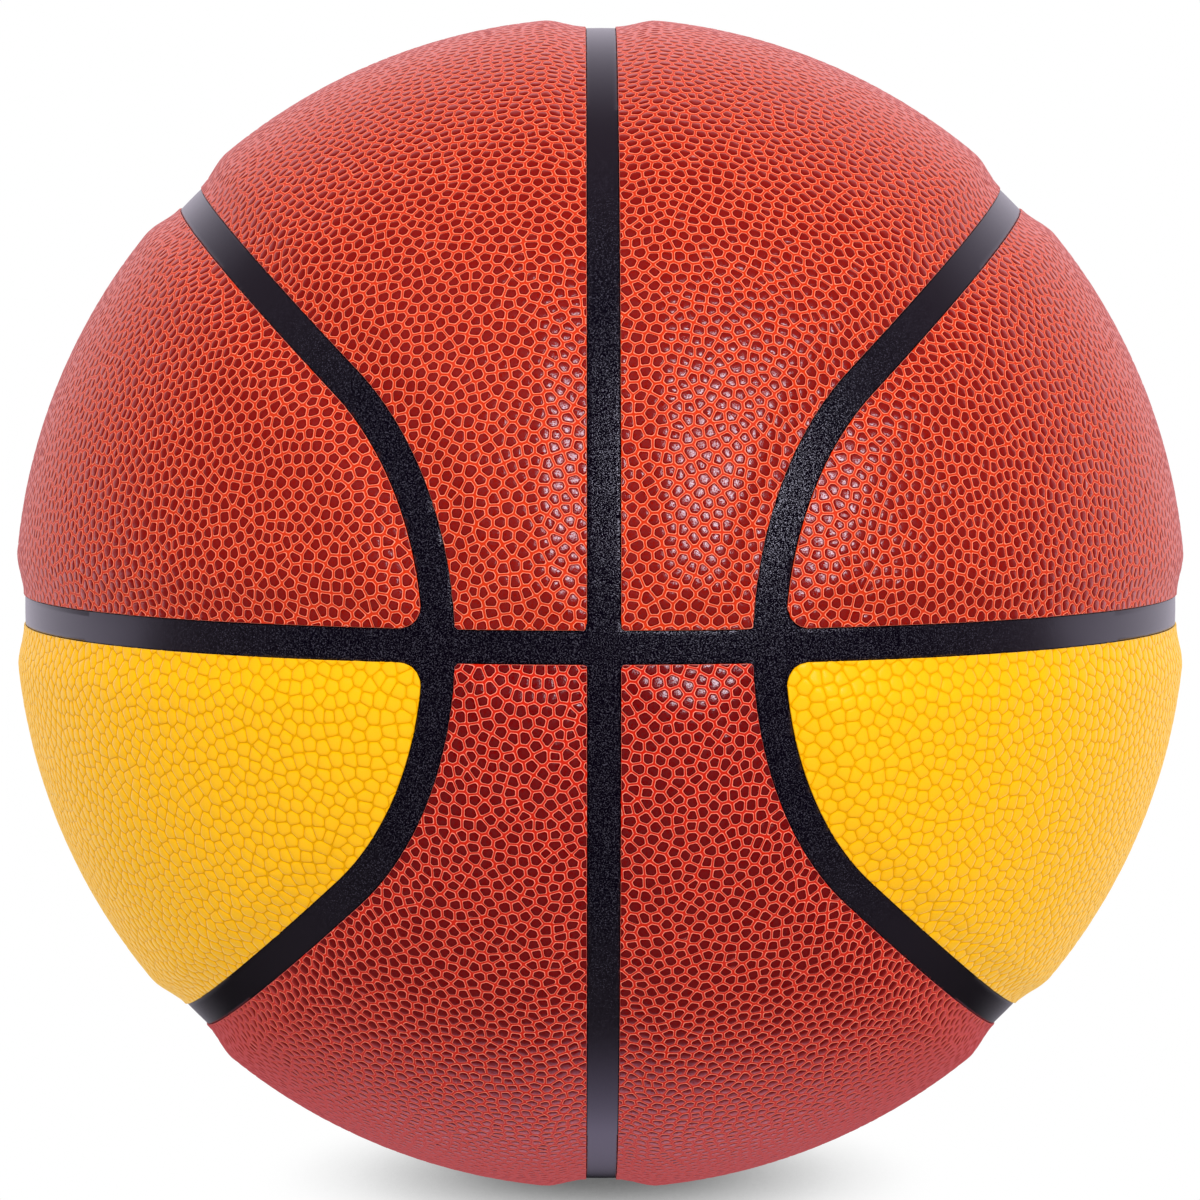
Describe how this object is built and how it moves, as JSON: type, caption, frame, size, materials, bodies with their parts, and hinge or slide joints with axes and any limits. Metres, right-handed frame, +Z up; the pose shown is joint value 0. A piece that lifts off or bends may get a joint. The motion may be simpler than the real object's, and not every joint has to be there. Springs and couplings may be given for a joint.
{
  "type": "basketball",
  "caption": "Inflated basketball with pebbled orange and yellow rubber panels, recessed black channels, cushion pads, wound carcass, bladder and needle valve.",
  "frame": {"origin": "centre of the ball", "axes": "+Z up, -Y towards the side the picture shows, +X to its right; the meridian channel lies in the plane x = 0, the equator channel in z = 0, and the two loops go round +X and -X"},
  "size_m": [0.2374, 0.2364, 0.2374],
  "materials": {
    "cover_orange": "pebbled, satin",
    "cover_yellow": "pebbled, satin",
    "channel_rubber": "fine grained, satin",
    "cushion_foam": "matt foam",
    "carcass_rubber": "matt",
    "winding_thread": "wound thread in rubber cement",
    "bladder_rubber": "smooth butyl",
    "valve_rubber": "smooth, satin",
    "valve_core_rubber": "soft, matt"
  },
  "bodies": {
    "root": {"cover_upper_left_side": "cover_orange", "cover_lower_left_side": "cover_yellow", "cover_upper_right_side": "cover_orange", "cover_lower_right_side": "cover_yellow", "cover_upper_left_band": "cover_orange", "cover_lower_left_band": "cover_orange", "cover_upper_right_band": "cover_orange", "cover_lower_right_band": "cover_orange", "pad_upper_left_side": "cushion_foam", "pad_lower_left_side": "cushion_foam", "pad_upper_right_side": "cushion_foam", "pad_lower_right_side": "cushion_foam", "pad_upper_left_band": "cushion_foam", "pad_lower_left_band": "cushion_foam", "pad_upper_right_band": "cushion_foam", "pad_lower_right_band": "cushion_foam", "channel_network": "channel_rubber", "carcass": "carcass_rubber", "thread_winding": "winding_thread", "bladder": "bladder_rubber", "valve_housing": "valve_rubber", "valve_core": "valve_core_rubber"}
  },
  "joints": []
}
